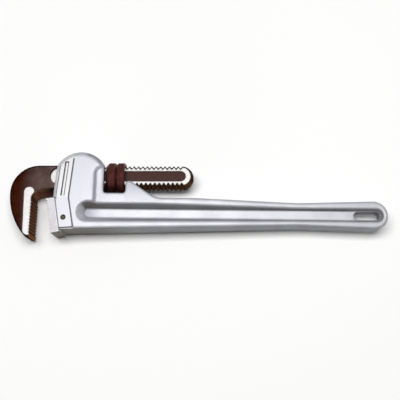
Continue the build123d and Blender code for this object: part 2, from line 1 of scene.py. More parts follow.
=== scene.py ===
import bpy
import numpy as np
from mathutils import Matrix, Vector


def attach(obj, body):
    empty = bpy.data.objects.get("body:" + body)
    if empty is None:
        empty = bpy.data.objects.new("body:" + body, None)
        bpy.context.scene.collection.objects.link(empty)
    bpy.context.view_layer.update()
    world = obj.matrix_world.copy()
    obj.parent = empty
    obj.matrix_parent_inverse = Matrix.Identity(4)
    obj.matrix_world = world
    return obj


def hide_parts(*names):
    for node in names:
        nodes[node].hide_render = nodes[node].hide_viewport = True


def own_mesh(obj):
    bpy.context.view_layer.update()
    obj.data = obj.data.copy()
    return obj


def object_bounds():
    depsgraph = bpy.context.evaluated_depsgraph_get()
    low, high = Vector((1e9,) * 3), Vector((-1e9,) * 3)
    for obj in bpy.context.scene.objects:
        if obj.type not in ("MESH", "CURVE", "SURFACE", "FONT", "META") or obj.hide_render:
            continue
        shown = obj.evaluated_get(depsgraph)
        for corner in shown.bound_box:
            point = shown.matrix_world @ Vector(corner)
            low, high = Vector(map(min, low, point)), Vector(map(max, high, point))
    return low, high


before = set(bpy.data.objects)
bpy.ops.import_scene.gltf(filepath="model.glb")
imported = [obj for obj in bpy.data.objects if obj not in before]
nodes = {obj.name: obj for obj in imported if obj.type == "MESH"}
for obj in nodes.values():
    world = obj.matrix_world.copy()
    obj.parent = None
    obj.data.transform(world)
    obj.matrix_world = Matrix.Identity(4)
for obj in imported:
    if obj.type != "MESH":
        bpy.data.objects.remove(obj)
cad_low, cad_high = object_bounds()


# Handle casting: one piece of sand-cast aluminium with head, hump, window and I-section handle.
# It is blasted to a fine pale grain, its broad faces are linished brighter than its walls, the walls are
# also painted darker as shade, and the front band of its cheeks is ground white above the heel jaw.
MM = 0.001
MIDDLE = 17.0  # height of the wrench's middle plane above the table, in millimetres


def feed(tree, node, inputs):
    """Each input of the node is linked to a socket or set to a value. A colour is red, green and blue."""
    for name, value in inputs.items():
        if isinstance(value, bpy.types.NodeSocket):
            tree.links.new(value, node.inputs[name])
        elif node.inputs[name].type == "RGBA":
            node.inputs[name].default_value = (*value, 1)
        else:
            node.inputs[name].default_value = value


def place(tree, kind, inputs, **settings):
    """A new shader node with its settings and its inputs."""
    made = tree.nodes.new(kind)
    for name, value in settings.items():
        setattr(made, name, value)
    feed(tree, made, inputs)
    return made


def mix(tree, share, first, second):
    """The colour that lies by share between first and second."""
    return place(tree, "ShaderNodeMix", {0: share, 6: first, 7: second}, data_type="RGBA").outputs[2]


def ramp(tree, value, span, reach=(0.0, 1.0)):
    """A value carried smoothly from the span that it runs through into the reach of the result."""
    inputs = {"Value": value, "From Min": span[0], "From Max": span[1]}
    inputs |= {"To Min": reach[0], "To Max": reach[1]}
    return place(tree, "ShaderNodeMapRange", inputs, interpolation_type="SMOOTHSTEP").outputs[0]


def calc(tree, operation, *values):
    """One arithmetic step on values or sockets."""
    return place(tree, "ShaderNodeMath", dict(enumerate(values)), operation=operation).outputs[0]


def times(tree, first, *others):
    """The product of masks and shares: what lies in all of them."""
    for other in others:
        first = calc(tree, "MULTIPLY", first, other)
    return first


def lay(tree, tone, mask, share, colour):
    """The tone with a colour laid over it, by its share where the mask is full."""
    return mix(tree, times(tree, mask, share), tone, colour)


def parts(tree, vector):
    """The three parts of a vector."""
    return place(tree, "ShaderNodeSeparateXYZ", {"Vector": vector}).outputs


def spot(tree, where):
    """A spot on the wrench in millimetres: along the shank, across it, and off its middle plane."""
    scaled = place(tree, "ShaderNodeVectorMath", {0: where["Object"], "Scale": 1 / MM}, operation="SCALE")
    x, y, z = parts(tree, scaled.outputs[0])
    return x, y, calc(tree, "ABSOLUTE", calc(tree, "SUBTRACT", z, MIDDLE))


def finish(name):
    """A new material: itself, its tree, its Principled shader and its Texture Coordinate outputs."""
    made = bpy.data.materials.new(name)
    made.use_nodes = True
    tree = made.node_tree
    return made, tree, tree.nodes["Principled BSDF"], place(tree, "ShaderNodeTexCoord", {}).outputs


def dress(node, material):
    """The CAD node's object takes one material on all its faces."""
    slots = nodes[node].data.materials
    slots.clear()
    slots.append(material)


def effect(name, inputs, outputs):
    """A shader node group with named sockets: the group, what its inside reads, and the node it feeds."""
    made = bpy.data.node_groups.new(name, "ShaderNodeTree")
    for in_out, sockets in (("INPUT", inputs), ("OUTPUT", outputs)):
        for socket, kind in sockets.items():
            made.interface.new_socket(socket, in_out=in_out, socket_type="NodeSocket" + kind)
    return made, made.nodes.new("NodeGroupInput").outputs, made.nodes.new("NodeGroupOutput")


# Worn: near convex edges, where rays sent inwards soon come out. The corner mask: high in corners, where
# rays sent outwards soon meet the piece itself, so it follows occlusion. Soft: the surface normal with its
# sharp edges broken.
OPEN_WHERE_WORN = 0.92, 0.55
CLOSED_IN_CORNERS = 0.0, 0.25
edges, given, gives = effect(
    "worn_edges_and_corners",
    {"Wear Reach": "Float", "Corner Reach": "Float", "Open Above": "Float", "Edge Radius": "Float"},
    {"Worn": "Float", "Corner": "Float", "Soft": "Vector"},
)
rays = {"samples": 6, "only_local": True}
inward = place(edges, "ShaderNodeAmbientOcclusion", {"Distance": given["Wear Reach"]}, inside=True, **rays)
outward = place(edges, "ShaderNodeAmbientOcclusion", {"Distance": given["Corner Reach"]}, **rays)
rounded = place(edges, "ShaderNodeBevel", {"Radius": given["Edge Radius"]}, samples=8)
closed = calc(edges, "SUBTRACT", given["Open Above"], outward.outputs["AO"])
feed(edges, gives, {
    "Worn": ramp(edges, inward.outputs["AO"], OPEN_WHERE_WORN),
    "Corner": ramp(edges, closed, CLOSED_IN_CORNERS),
    "Soft": rounded.outputs["Normal"],
})

# Clouds: broad soft patches of a surface's skin. Grain: its fine tooth.
CLOUD_CONTRAST = 0.34, 0.66
GRAIN_CONTRAST = 0.30, 0.70
skin, given, gives = effect(
    "skin",
    {"Vector": "Vector", "Cloud Scale": "Float", "Grain Scale": "Float"},
    {"Clouds": "Float", "Grain": "Float"},
)
broad = {"Vector": given["Vector"], "Scale": given["Cloud Scale"], "Detail": 4.0}
fine = {"Vector": given["Vector"], "Scale": given["Grain Scale"], "Detail": 2.0}
feed(skin, gives, {
    "Clouds": ramp(skin, place(skin, "ShaderNodeTexNoise", broad).outputs["Fac"], CLOUD_CONTRAST),
    "Grain": ramp(skin, place(skin, "ShaderNodeTexNoise", fine).outputs["Fac"], GRAIN_CONTRAST),
})


def wear_on(tree, wear_reach, corner_reach, open_above, edge_radius):
    """Worn edges and corner masks placed in a material, with its own reaches and its own broken edge."""
    inputs = {"Wear Reach": wear_reach, "Corner Reach": corner_reach}
    inputs |= {"Open Above": open_above, "Edge Radius": edge_radius}
    return place(tree, "ShaderNodeGroup", inputs, node_tree=edges).outputs


def skin_on(tree, where, cloud_scale, grain_scale):
    """The skin effect placed in a material, with the scales of its patches and its tooth."""
    inputs = {"Vector": where["Object"], "Cloud Scale": cloud_scale, "Grain Scale": grain_scale}
    return place(tree, "ShaderNodeGroup", inputs, node_tree=skin).outputs


def raised(tree, strength, depth, height, normal=None):
    """The normal of a surface on which height stands out by up to depth."""
    inputs = {"Strength": strength, "Distance": depth, "Height": height}
    if normal is not None:
        inputs["Normal"] = normal
    return place(tree, "ShaderNodeBump", inputs).outputs[0]


# Colours of the casting. A pair runs from the darker to the paler patches. A share stands before the
# colour that is laid on by it.
WALL_TONES = (0.257, 0.261, 0.285), (0.296, 0.300, 0.324)
FACE_TONES = (0.447, 0.450, 0.485), (0.510, 0.513, 0.548)
HEAD_FACE = 0.485, 0.488, 0.529
HUMP_SHADE = 0.340, 0.343, 0.384
RUN_OUT_WALL_LIGHT = 0.484, 0.495, 0.538
RECESS_END_HIGHLIGHT = 0.741, 0.753, 0.780
RECESS_END_FLOOR_SHADE = 0.195, 0.202, 0.233
HEAD_UNDERSIDE_SHADE = 0.156, 0.144, 0.125
RELIEF_SIDE_SHADE = 0.252, 0.261, 0.300
GROUND_BAND = 0.542, 0.542, 0.548
RUBBED_EDGE = 0.30, (0.655, 0.655, 0.680)
CASTING_PAINTED_SHADE = 0.050, 0.036, 0.031
LINE_SHADE_SHARE, LINISHED_SMOOTHER = 0.85, 0.04

# Fades by place, in millimetres: where each starts and where it is full.
RELIEF_FRONT, RELIEF_BACK, RELIEF_FOOT = (4.0, 9.0), (27.0, 20.0), (-32.0, -27.0)
HUMP_FRONT, HUMP_BACK, HUMP_FOOT = (30.0, 46.0), (95.0, 60.0), (-30.0, -10.0)
RECESS_TOP, RECESS_FOOT, RECESS_FLOOR = (-29.0, -31.0), (-55.5, -54.0), (12.0, 8.0)
RUN_OUT_LENGTH, END_FLOOR_LENGTH = (50.0, 4.0), (28.0, 1.0)
CHEEKS_BACK, HEAD_FRONT, UNDERSIDE_BACK = (-5.0, 0.0), (30.0, -5.0), (70.0, 5.0)
HANDLE_END = 150.0, 300.0

# Broken edges, and fades by the way a face turns: the parts of its normal where each starts and is full.
CHEEK_BREAK, HEAD_BREAK, RELIEF_BREAK, END_BREAK_SHARE = 0.7 * MM, 3.2 * MM, 2.4 * MM, 0.55
LEVEL_TURN, RELIEF_TURN, END_WALL_TURN = (0.40, 0.98), (0.995, 0.92), (0.2, 0.7)
UNDERSIDE_TURN, WALL_SHARE = (-0.5, -0.9), (0.95, 0.40)

# How strong the painted shade in corners lies: by corners, by the way a wall faces, and at the front and
# the back of the recess.
CORNER_SHADE_CONTRAST = 0.05, 0.60
CORNER_SHADE_BY_TURN = {"span": (0.4, -0.4), "reach": (0.12, 0.95)}
CORNER_SHADE_IN_FRONT = {"span": (2.0, 35.0), "reach": (0.35, 1.0)}
CORNER_SHADE_AT_BACK = {"span": (278.0, 292.0), "reach": (1.0, 0.45)}

# The front band leans with the nose. The floors of its lines and its slit are known by their height off
# the middle plane, which is given with how near to it a spot has to lie.
NOSE_SLOPE = 0.0805
BAND_BACK, BAND_FOOT = -8.6, -25.4
BAND_LINE_FLOOR, NOSE_LINE_FLOOR, SLIT_FLOOR = (15.6, 0.35), (16.3, 0.25), (13.8, 0.2)
UNSHADED_STRIP_MIDDLE, UNSHADED_STRIP_HALF = -15.75, 1.05
LINES_END, SLIT_END = 4.0, -8.0

casting, tree, shader, where = finish("cast_aluminium")
x, y, off_middle = spot(tree, where)
tooth = skin_on(tree, where, cloud_scale=42.0, grain_scale=1700.0)

# Its edges are left crisp on the cheeks and broken wide on the head, most round the thumb relief and less
# again towards the handle's end.
near_relief = times(tree, ramp(tree, x, RELIEF_FRONT), ramp(tree, x, RELIEF_BACK), ramp(tree, y, RELIEF_FOOT))
breaks = ramp(tree, x, CHEEKS_BACK, reach=(CHEEK_BREAK, HEAD_BREAK))
breaks = calc(tree, "MULTIPLY_ADD", near_relief, RELIEF_BREAK, breaks)
breaks = times(tree, breaks, ramp(tree, x, HANDLE_END, reach=(1.0, END_BREAK_SHARE)))
wear = wear_on(tree, wear_reach=1.2 * MM, corner_reach=9.0 * MM, open_above=0.92, edge_radius=breaks)
facing = parts(tree, wear["Soft"])
upright = calc(tree, "ABSOLUTE", facing[2])
level = ramp(tree, upright, LEVEL_TURN)

# Walls: painted light where the handle's recess runs out at the head, a painted highlight on the walls
# there that face along the shank, and painted shade on the head's underside.
walls = mix(tree, tooth["Clouds"], *WALL_TONES)
in_recess = times(tree, ramp(tree, y, RECESS_TOP), ramp(tree, y, RECESS_FOOT))
run_out = times(tree, in_recess, ramp(tree, x, RUN_OUT_LENGTH))
walls = mix(tree, run_out, walls, RUN_OUT_WALL_LIGHT)
walls = mix(tree, times(tree, run_out, ramp(tree, facing[0], END_WALL_TURN)), walls, RECESS_END_HIGHLIGHT)
underside = times(tree, ramp(tree, facing[1], UNDERSIDE_TURN), ramp(tree, x, UNDERSIDE_BACK))
walls = mix(tree, underside, walls, HEAD_UNDERSIDE_SHADE)

# Broad faces: even on the head, with painted shade greying the hump and darkening the recess floor towards
# the head's end.
faces = mix(tree, tooth["Clouds"], *FACE_TONES)
faces = mix(tree, ramp(tree, x, HEAD_FRONT), faces, HEAD_FACE)
hump = times(tree, ramp(tree, x, HUMP_FRONT), ramp(tree, x, HUMP_BACK), ramp(tree, y, HUMP_FOOT))
faces = mix(tree, hump, faces, HUMP_SHADE)
end_floor = times(tree, in_recess, ramp(tree, off_middle, RECESS_FLOOR), ramp(tree, x, END_FLOOR_LENGTH))
faces = mix(tree, end_floor, faces, RECESS_END_FLOOR_SHADE)

# Walls and faces together, blended by how far the softened normal turns up, which paints shade on rounded
# edges; then the relief's sloping side in painted shade, the ground band and the rubbed edges.
tone = mix(tree, level, walls, faces)
tone = mix(tree, times(tree, near_relief, ramp(tree, upright, RELIEF_TURN)), tone, RELIEF_SIDE_SHADE)
from_nose = calc(tree, "MULTIPLY_ADD", y, -NOSE_SLOPE, x)
before_line = calc(tree, "LESS_THAN", from_nose, BAND_BACK)
ground = times(tree, before_line, calc(tree, "GREATER_THAN", y, BAND_FOOT), level)
tone = mix(tree, ground, tone, GROUND_BAND)
tone = lay(tree, tone, wear["Worn"], *RUBBED_EDGE)

# Painted shade lies in corners, most on walls that face away from the dome, and less at both ends of the
# recess.
shade_in_corners = times(
    tree,
    ramp(tree, wear["Corner"], CORNER_SHADE_CONTRAST),
    ramp(tree, level, WALL_SHARE),
    ramp(tree, facing[1], **CORNER_SHADE_BY_TURN),
    ramp(tree, x, **CORNER_SHADE_IN_FRONT),
    ramp(tree, x, **CORNER_SHADE_AT_BACK),
)

# Painted shade also fills the band's line and the nose line, and the slit's floor on both sides of a strip
# left unshaded.
in_lines = [calc(tree, "COMPARE", off_middle, *floor) for floor in (BAND_LINE_FLOOR, NOSE_LINE_FLOOR)]
on_cheeks = calc(tree, "LESS_THAN", x, LINES_END)
line_shade = times(tree, calc(tree, "MAXIMUM", *in_lines), on_cheeks, wear["Corner"])
off_strip = calc(tree, "ABSOLUTE", calc(tree, "SUBTRACT", from_nose, UNSHADED_STRIP_MIDDLE))
in_slit = times(
    tree,
    calc(tree, "GREATER_THAN", off_strip, UNSHADED_STRIP_HALF),
    calc(tree, "COMPARE", off_middle, *SLIT_FLOOR),
    calc(tree, "LESS_THAN", x, SLIT_END),
)
line_shade = times(tree, calc(tree, "MAXIMUM", line_shade, in_slit), LINE_SHADE_SHARE)
tone = mix(tree, calc(tree, "MAXIMUM", shade_in_corners, line_shade), tone, CASTING_PAINTED_SHADE)

blasted = ramp(tree, tooth["Grain"], (0.0, 1.0), reach=(0.48, 0.58))
feed(tree, shader, {
    "Base Color": tone,
    "Metallic": 0.36,
    "Roughness": calc(tree, "MULTIPLY_ADD", level, -LINISHED_SMOOTHER, blasted),
    "Normal": raised(tree, strength=0.15, depth=0.06 * MM, height=tooth["Grain"], normal=wear["Soft"]),
})
dress("handle_body", casting)


# Heel jaw: a block of pale hardened steel with milled saw teeth, ground on its sides. Its tongue sits
# in the slot between the cheeks, and a relieved back edge leaves a dark seam along them.
HEEL_TONES = (0.39, 0.38, 0.405), (0.46, 0.45, 0.475)
HEEL_CUTS = 0.35, (0.66, 0.65, 0.66)
HEEL_WORN = 0.6, (0.72, 0.72, 0.72)
HEEL_CORNER_DARK = 0.8, (0.12, 0.10, 0.09)
HEEL_LOWER_END_SHADE = 0.10, 0.088, 0.066
LOWER_END_Y, LOWER_END_TURN = (-52.0, -56.0), (-0.5, -0.8)
MARK_CONTRAST = 0.32, 0.68

# Lines: fine parallel marks of a cutter or a wheel, drawn out by the stretch of the three directions.
marks, given, gives = effect("machining_marks", {"Vector": "Vector", "Stretch": "Vector"}, {"Lines": "Float"})
drawn = place(marks, "ShaderNodeMapping", {"Vector": given["Vector"], "Scale": given["Stretch"]}).outputs[0]
lines = place(marks, "ShaderNodeTexNoise", {"Vector": drawn, "Scale": 1.0, "Detail": 3.0}).outputs["Fac"]
feed(marks, gives, {"Lines": ramp(marks, lines, MARK_CONTRAST)})


def cuts_on(tree, where, stretch):
    """The machining_marks effect placed in a material, with its own stretch."""
    inputs = {"Vector": where["Object"], "Stretch": stretch}
    return place(tree, "ShaderNodeGroup", inputs, node_tree=marks).outputs["Lines"]


heel, tree, shader, where = finish("heel_steel")
wear = wear_on(tree, wear_reach=0.8 * MM, corner_reach=2.0 * MM, open_above=0.66, edge_radius=0.3 * MM)
tooth = skin_on(tree, where, cloud_scale=90.0, grain_scale=2200.0)
cuts = cuts_on(tree, where, stretch=(120.0, 2600.0, 120.0))
tone = mix(tree, tooth["Clouds"], *HEEL_TONES)
tone = lay(tree, tone, cuts, *HEEL_CUTS)
tone = lay(tree, tone, wear["Worn"], *HEEL_WORN)
# The tone is darker in its corners, by the corner mask.
tone = lay(tree, tone, wear["Corner"], *HEEL_CORNER_DARK)
# Its lower end, facing down, is painted in shade.
turned_down = ramp(tree, parts(tree, where["Normal"])[1], LOWER_END_TURN)
lower_end = times(tree, turned_down, ramp(tree, spot(tree, where)[1], LOWER_END_Y))
tone = mix(tree, lower_end, tone, HEEL_LOWER_END_SHADE)
feed(tree, shader, {
    "Base Color": tone,
    "Metallic": 0.25,
    "Roughness": ramp(tree, cuts, (0.0, 1.0), reach=(0.42, 0.56)),
    "Normal": raised(tree, strength=0.25, depth=0.05 * MM, height=cuts, normal=wear["Soft"]),
})
dress("heel_jaw", heel)


# Heel jaw pin: a plain steel pin driven through both cheeks and the tongue, chamfered at its ends,
# which lie a little below the cheeks and have gone brown with oil and dust.
PIN_SIDE_TONES = (0.030, 0.024, 0.017), (0.050, 0.041, 0.030)
PIN_END_TONES = (0.045, 0.038, 0.027), (0.075, 0.064, 0.047)
PIN_WORN = 0.25, (0.30, 0.28, 0.25)
PIN_END_TURN = 0.80, 0.98

pin, tree, shader, where = finish("pin_steel")
wear = wear_on(tree, wear_reach=0.4 * MM, corner_reach=1.0 * MM, open_above=0.66, edge_radius=0.2 * MM)
tooth = skin_on(tree, where, cloud_scale=500.0, grain_scale=4000.0)
upright = calc(tree, "ABSOLUTE", parts(tree, where["Normal"])[2])
oiled = mix(tree, tooth["Clouds"], *PIN_SIDE_TONES)
faced = mix(tree, tooth["Clouds"], *PIN_END_TONES)
tone = mix(tree, ramp(tree, upright, PIN_END_TURN), oiled, faced)
tone = lay(tree, tone, wear["Worn"], *PIN_WORN)
feed(tree, shader, {
    "Base Color": tone,
    "Metallic": 0.9,
    "Roughness": ramp(tree, tooth["Grain"], (0.0, 1.0), reach=(0.48, 0.60)),
    "Normal": raised(tree, strength=0.2, depth=0.03 * MM, height=tooth["Grain"], normal=wear["Soft"]),
})
dress("heel_jaw_pin", pin)


# Coil spring: round spring wire wound with closed ends, standing in its pocket of the casting
# and pushing up on the leaf.
WIRE_RADIUS, COIL_RADIUS = 0.65 * MM, 4.4 * MM
COIL_TURNS, CLOSED_TURNS = 4.5, 0.9
CLOSED_RISE = 2.1 * WIRE_RADIUS
SPRING_TONES = (0.20, 0.20, 0.23), (0.32, 0.32, 0.35)
SPRING_CUTS = 0.3, (0.42, 0.41, 0.41)
coil_axis = Vector((8.0, 0.0, MIDDLE)) * MM
coil_floor, coil_top = -31.86 * MM, -14.90 * MM


def piece(name, rings, joined, material, sharp):
    """A mesh from rings of points: each cell of the grid is a four-sided face, every ring closes on itself,
    and the last ring joins the first or else both end rings are capped. Edges that turn by more degrees
    than sharp stay sharp."""
    count, around = rings.shape[:2]
    here = np.arange(count * around).reshape(count, around)
    after = np.roll(here, -1, 0)
    cells = np.stack([here, np.roll(here, -1, 1), np.roll(after, -1, 1), after], -1)
    faces = cells[: count if joined else -1].reshape(-1, 4).tolist()
    if not joined:
        faces += [here[0, ::-1].tolist(), here[-1].tolist()]
    mesh = bpy.data.meshes.new(name)
    mesh.from_pydata(rings.reshape(-1, 3).tolist(), [], faces)
    mesh.shade_smooth()
    mesh.set_sharp_from_angle(angle=np.radians(sharp))
    mesh.materials.append(material)
    made = bpy.data.objects.new(name, mesh)
    bpy.context.scene.collection.objects.link(made)
    return made


def coil_wire(steps, sides):
    """A circle of the wire's radius carried up a helix: the height climbs slowly in the closed end turns,
    and evenly between them. The circle lies square to the helix, in its outward and its across direction."""
    turn = np.linspace(0, COIL_TURNS, steps)
    low, high = coil_floor + WIRE_RADIUS, coil_top - WIRE_RADIUS
    knots = [0, CLOSED_TURNS, COIL_TURNS - CLOSED_TURNS, COIL_TURNS]
    heights = [low, low + CLOSED_RISE * CLOSED_TURNS, high - CLOSED_RISE * CLOSED_TURNS, high]
    angle = 2 * np.pi * turn
    outward = np.stack([np.cos(angle), 0 * angle, np.sin(angle)], -1)
    centre = np.array(coil_axis) + COIL_RADIUS * outward
    centre[:, 1] = np.interp(turn, knots, heights)
    ahead = np.gradient(centre, axis=0)
    ahead /= np.linalg.norm(ahead, axis=1, keepdims=True)
    across = np.cross(ahead, outward)
    side = np.linspace(0, 2 * np.pi, sides, endpoint=False)[:, None]
    ring = np.cos(side) * outward[:, None] + np.sin(side) * across[:, None]
    return centre[:, None] + WIRE_RADIUS * ring


spring, tree, shader, where = finish("spring_steel")
tooth = skin_on(tree, where, cloud_scale=160.0, grain_scale=2600.0)
cuts = cuts_on(tree, where, stretch=(140.0, 140.0, 1800.0))
tone = mix(tree, tooth["Clouds"], *SPRING_TONES)
tone = lay(tree, tone, cuts, *SPRING_CUTS)
feed(tree, shader, {
    "Base Color": tone,
    "Metallic": 0.85,
    "Roughness": ramp(tree, tooth["Grain"], (0.0, 1.0), reach=(0.30, 0.44)),
    "Normal": raised(tree, strength=0.2, depth=0.03 * MM, height=cuts),
})

coil = piece("coil_wire", coil_wire(steps=260, sides=16), joined=False, material=spring, sharp=60)
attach(coil, "handle")
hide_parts("coil_spring")
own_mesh(coil)


# Leaf spring and rivet: a strip of tempered spring steel under the shank, blanked with round ends,
# and the rivet that holds it over the coil.
dress("flat_spring", spring)
dress("spring_rivet", spring)


# Hook jaw: one drop forging with a dark brown oxide skin, darkest on the hook and paler on the neck,
# where the paler tone is a painted sheen. After the forging its tooth pads and the sides of its shank are
# milled bright, and the thread is cut.
OXIDE_TONES = (0.016, 0.0022, 0.0006), (0.024, 0.0048, 0.0018)
NECK_SHEEN_TONES = (0.046, 0.027, 0.024), (0.076, 0.052, 0.048)
THREAD_TONES = (0.038, 0.015, 0.009), (0.064, 0.030, 0.021)
LOWER_THREAD_BOUNCE = 0.17, 0.085, 0.048
TOOTH_ROOT_SHADE, TOOTH_TIP_LIGHT = (0.012, 0.005, 0.002), (0.24, 0.125, 0.068)
PANEL_TONES = (0.018, 0.008, 0.007), (0.060, 0.034, 0.030)
OXIDE_WORN = 0.22, (0.20, 0.14, 0.12)
MILLED_TONES = (0.53, 0.52, 0.52), (0.62, 0.61, 0.61)
MILLED_RIM_SHADE = 0.05, 0.026, 0.020
HOOK_CORNER_SHADE = 0.75, (0.014, 0.007, 0.006)
OXIDE_SHEEN = 0.22, 0.16, 0.14
LEVEL_FROM, MILLED_RIM_BAND = 0.9, (0.03, 0.25)
OXIDE_TO_MILLED_METAL, MILLED_SMOOTHER = (0.9, 0.4), 0.04

# Its machined faces are known by their height off the middle plane, with how near to it a spot has to lie.
# The teeth's tone runs from painted shade at the root to painted light at the tip, and the skin's tones
# change along and across the shank.
SHANK_FLAT, TOOTH_PAD, SHANK_PANEL = (8.75, 0.06), (11.6, 0.06), (7.55, 0.06)
TOOTH_ROW_BACK, TOOTH_ROW_TOP, ROOT_TO_TIP = -52.0, (-14.0, -20.0), (-51.0, -50.1)
HOOK_TO_NECK, NECK_TO_THREAD, THREAD_FOOT = (-66.0, -40.0), (-8.0, 4.0), (-4.0, -9.0)

forging, tree, shader, where = finish("forged_dark_steel")
wear = wear_on(tree, wear_reach=1.4 * MM, corner_reach=1.6 * MM, open_above=0.66, edge_radius=0.35 * MM)
tooth = skin_on(tree, where, cloud_scale=70.0, grain_scale=1300.0)
cuts = cuts_on(tree, where, stretch=(160.0, 2400.0, 160.0))
x, y, off_middle = spot(tree, where)
upright = calc(tree, "ABSOLUTE", parts(tree, where["Normal"])[2])
level = calc(tree, "GREATER_THAN", upright, LEVEL_FROM)
flats = calc(tree, "COMPARE", off_middle, *SHANK_FLAT)
pads = calc(tree, "COMPARE", off_middle, *TOOTH_PAD)
milled = times(tree, calc(tree, "MAXIMUM", flats, pads), level)
panel = times(tree, calc(tree, "COMPARE", off_middle, *SHANK_PANEL), level)
in_mouth = times(tree, calc(tree, "GREATER_THAN", x, TOOTH_ROW_BACK), ramp(tree, y, TOOTH_ROW_TOP))
bite = times(tree, in_mouth, calc(tree, "SUBTRACT", 1.0, level))

# From the hook's dark skin to the neck's painted sheen and the cut thread, then the teeth and the panel.
oxide = mix(tree, tooth["Clouds"], *OXIDE_TONES)
tone = mix(tree, ramp(tree, x, HOOK_TO_NECK), oxide, mix(tree, tooth["Clouds"], *NECK_SHEEN_TONES))
thread = mix(tree, tooth["Clouds"], *THREAD_TONES)
# Its lower side is paler brown: painted light bounced up from the table.
thread = mix(tree, ramp(tree, y, THREAD_FOOT), thread, LOWER_THREAD_BOUNCE)
tone = mix(tree, ramp(tree, x, NECK_TO_THREAD), tone, thread)
tone = mix(tree, bite, tone, mix(tree, ramp(tree, x, ROOT_TO_TIP), TOOTH_ROOT_SHADE, TOOTH_TIP_LIGHT))
tone = mix(tree, panel, tone, mix(tree, tooth["Grain"], *PANEL_TONES))
tone = lay(tree, tone, wear["Worn"], *OXIDE_WORN)

# The milled faces are bright up to a thin dark rim of painted shade, and painted shade darkens all corners.
bright = mix(tree, cuts, *MILLED_TONES)
bright = mix(tree, ramp(tree, wear["Worn"], MILLED_RIM_BAND), bright, MILLED_RIM_SHADE)
tone = mix(tree, milled, tone, bright)
tone = lay(tree, tone, wear["Corner"], *HOOK_CORNER_SHADE)
dull = ramp(tree, tooth["Grain"], (0.0, 1.0), reach=(0.46, 0.60))
height = mix(tree, milled, tooth["Grain"], cuts)
feed(tree, shader, {
    "Base Color": tone,
    "Metallic": ramp(tree, milled, (0.0, 1.0), OXIDE_TO_MILLED_METAL),
    "Specular Tint": OXIDE_SHEEN,
    "Roughness": calc(tree, "MULTIPLY_ADD", milled, -MILLED_SMOOTHER, dull),
    "Normal": raised(tree, strength=0.30, depth=0.06 * MM, height=height, normal=wear["Soft"]),
})
dress("hook_jaw", forging)


# Adjusting nut: turned from steel bar, coned in front, knurled in two bands either side of a groove,
# threaded to run on the shank and oxidised dark brown. It is held in the casting's window.
NUT_START, NUT_LENGTH, NUT_RADIUS = 27.2, 19.6, 16.75
CONE_LENGTH, CONE_DEPTH = 2.4, 2.6
GROOVE_AT, GROOVE_HALF, GROOVE_DEPTH = 10.4, 1.8, 1.5
REAR_BREAK, BORE_BREAK = 0.8, 0.2
KNURLS, KNURL_DEPTH, KNURL_LAND, KNURL_FADE = 48, 0.55, 0.35, 0.4
PITCH, RIDGE_AT = 4.8, 14.8
RIDGE_TIP, RIDGE_ROOT, RIDGE_HALF, FLANK = 11.7, 13.7, 0.26, 0.816
OUTSIDE_STATIONS, BORE_STATIONS, FACE_STATIONS = 92, 84, 3
NUT_TONES = (0.075, 0.016, 0.014), (0.115, 0.032, 0.027)
NUT_WORN = 0.30, (0.16, 0.11, 0.095)
NUT_CORNER_DARK = 0.70, (0.010, 0.005, 0.004)


def knurled(x, angle):
    """Depth of a diamond knurl: two crossing rows of V grooves that wind round the nut in opposite hands,
    the deeper of the two at each point, fading out towards the edges of both bands."""
    lead = KNURLS * angle / (2 * np.pi)
    step = x * KNURLS / (2 * np.pi * NUT_RADIUS)
    valley = [np.abs((lead + hand * step) % 1 - 0.5) * 2 for hand in (1, -1)]
    depth = np.maximum(*[np.clip((v - KNURL_LAND) / (1 - KNURL_LAND), 0, 1) for v in valley])
    first = np.minimum(x - CONE_LENGTH, GROOVE_AT - GROOVE_HALF - x)
    second = np.minimum(x - GROOVE_AT - GROOVE_HALF, NUT_LENGTH - REAR_BREAK - x)
    return KNURL_DEPTH * depth * np.clip(np.maximum(first, second) / KNURL_FADE, 0, 1)


def nut_surface(around):
    """Rings round the X axis whose stations run along the outside, down the rear face, back through the
    bore and up the front face. Outside: cone, two bands and a V groove, less the knurl. Bore: a ridge of
    trapezium section that winds with the shank's groove, opened out at both ends."""
    angle = np.linspace(0, 2 * np.pi, around, endpoint=False)[None, :]
    groove_x = [GROOVE_AT - GROOVE_HALF, GROOVE_AT, GROOVE_AT + GROOVE_HALF]
    turned_x = [0, CONE_LENGTH, *groove_x, NUT_LENGTH - REAR_BREAK, NUT_LENGTH]
    turned_r = np.array([-CONE_DEPTH, 0, 0, -GROOVE_DEPTH, 0, 0, -REAR_BREAK]) + NUT_RADIUS
    out_x = np.unique(np.concatenate([np.linspace(0, NUT_LENGTH, OUTSIDE_STATIONS), turned_x]))[:, None]
    out_r = np.interp(out_x, turned_x, turned_r) - knurled(out_x, angle)
    bore_x = np.linspace(NUT_LENGTH, 0, BORE_STATIONS)[:, None]
    phase = (NUT_START + bore_x - RIDGE_AT) / PITCH - angle / (2 * np.pi)
    off_ridge = np.abs((phase + 0.5) % 1 - 0.5) * PITCH
    bore_r = np.clip(RIDGE_TIP + (off_ridge - RIDGE_HALF) / FLANK, RIDGE_TIP, RIDGE_ROOT)
    bore_r = np.maximum(bore_r, RIDGE_ROOT + BORE_BREAK - np.minimum(bore_x, NUT_LENGTH - bore_x))
    step = np.linspace(0, 1, FACE_STATIONS + 2)[1:-1, None]
    rear_r = out_r[-1] + step * (bore_r[0] - out_r[-1])
    front_r = bore_r[-1] + step * (out_r[0] - bore_r[-1])
    radius = np.concatenate([out_r, rear_r, bore_r, front_r])
    along_x = np.concatenate([out_x, 0 * step + NUT_LENGTH, bore_x, 0 * step]) + 0 * angle
    return np.stack([NUT_START + along_x, radius * np.cos(angle), MIDDLE + radius * np.sin(angle)], -1) * MM


